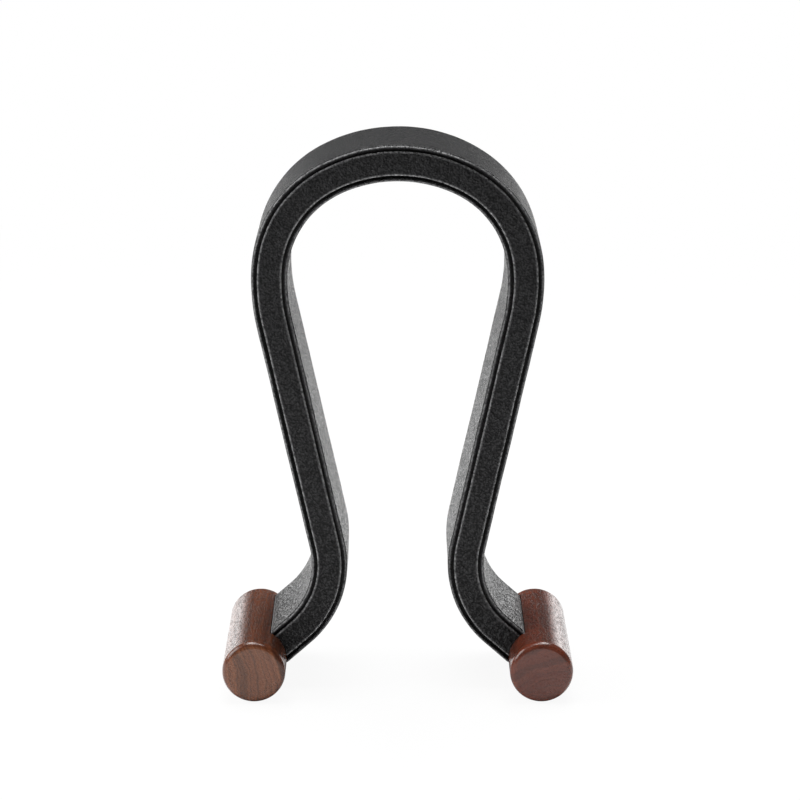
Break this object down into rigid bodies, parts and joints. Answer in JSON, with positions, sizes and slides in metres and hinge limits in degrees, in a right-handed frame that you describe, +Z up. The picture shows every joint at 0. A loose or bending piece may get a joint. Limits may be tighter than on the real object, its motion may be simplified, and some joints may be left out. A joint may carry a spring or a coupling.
{
  "type": "headphone stand",
  "caption": "Free-standing omega-shaped headphone stand: a leather-clad bent band on two round walnut dowel feet lying front to back.",
  "frame": {"origin": "on the table, midway between the two feet and midway along them", "axes": "+Z up, +X towards the right foot seen from the front, -Y the front, +Y the back"},
  "size_m": [0.1554, 0.08, 0.2467],
  "materials": {
    "leather": "black, fine pebble grain, semi-matt",
    "painted_wood": "moulded plywood, painted black",
    "walnut": "dark red-brown walnut, glossy lacquer",
    "steel": "zinc-plated steel",
    "silicone": "matt black silicone"
  },
  "bodies": {
    "root": {"bent_core": "painted_wood", "outer_leather_cover": "leather", "inner_leather_cover": "leather", "front_edge_strip": "leather", "rear_edge_strip": "leather", "left_foot": "walnut", "left_front_screw": "steel", "left_front_plug": "walnut", "left_front_pad": "silicone", "left_rear_screw": "steel", "left_rear_plug": "walnut", "left_rear_pad": "silicone", "right_foot": "walnut", "right_front_screw": "steel", "right_front_plug": "walnut", "right_front_pad": "silicone", "right_rear_screw": "steel", "right_rear_plug": "walnut", "right_rear_pad": "silicone"}
  },
  "joints": []
}
